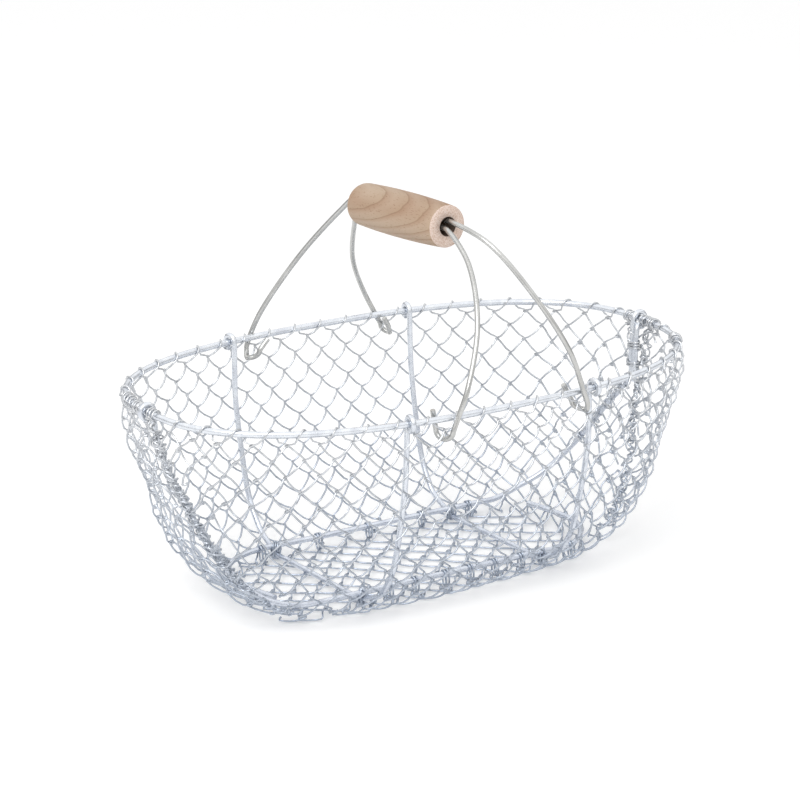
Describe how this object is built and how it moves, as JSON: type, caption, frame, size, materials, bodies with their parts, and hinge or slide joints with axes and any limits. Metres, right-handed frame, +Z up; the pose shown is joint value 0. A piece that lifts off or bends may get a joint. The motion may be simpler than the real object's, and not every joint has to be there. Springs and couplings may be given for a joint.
{
  "type": "wire gathering basket",
  "caption": "Oval wire-mesh basket on a bent wire frame, with two arched wire bails through one loose wooden grip, for gathering shellfish.",
  "frame": {"origin": "on the floor under the middle of the rim, on the underside of the net's floor", "axes": "+X along the basket, +Y across it towards the far side, +Z up out of its mouth"},
  "size_m": [0.4069, 0.2435, 0.2607],
  "materials": {
    "frame_wire": "hot-dip galvanised round wire",
    "net_wire": "galvanised thin wire",
    "bail_wire": "bright drawn steel wire",
    "grip_wood": "turned beech, unvarnished"
  },
  "bodies": {
    "basket": {"rim": "frame_wire", "rib_left": "frame_wire", "rib_right": "frame_wire", "near_rail_and_left_stay": "frame_wire", "far_rail_and_right_stay": "frame_wire", "bail_left": "bail_wire", "bail_right": "bail_wire", "net_floor": "net_wire", "stay_tail_binding": "frame_wire", "net_near_upper_left_end": "net_wire", "net_near_upper_left_bend": "net_wire", "net_near_upper_left_corner": "net_wire", "net_near_upper_left_side": "net_wire", "net_near_upper_middle": "net_wire", "net_near_upper_right_side": "net_wire", "net_near_upper_right_corner": "net_wire", "net_near_upper_right_bend": "net_wire", "net_near_upper_right_end": "net_wire", "net_near_lower_left_end": "net_wire", "net_near_lower_left_corner": "net_wire", "net_near_lower_left_side": "net_wire", "net_near_lower_middle": "net_wire", "net_near_lower_right_side": "net_wire", "net_near_lower_right_corner": "net_wire", "net_near_lower_right_end": "net_wire", "net_far_upper_left_end": "net_wire", "net_far_upper_left_bend": "net_wire", "net_far_upper_left_corner": "net_wire", "net_far_upper_left_side": "net_wire", "net_far_upper_middle": "net_wire", "net_far_upper_right_side": "net_wire", "net_far_upper_right_corner": "net_wire", "net_far_upper_right_bend": "net_wire", "net_far_upper_right_end": "net_wire", "net_far_lower_left_end": "net_wire", "net_far_lower_left_corner": "net_wire", "net_far_lower_left_side": "net_wire", "net_far_lower_middle": "net_wire", "net_far_lower_right_side": "net_wire", "net_far_lower_right_corner": "net_wire", "net_far_lower_right_end": "net_wire"},
    "grip": {"grip": "grip_wood"}
  },
  "joints": [
    {"name": "grip_spin", "type": "hinge", "parent": "basket", "child": "grip", "pos_m": [-0.0032, 0, 0.2447], "axis": [-0.0523, 0.998, -0.0349], "continuous": true}
  ]
}
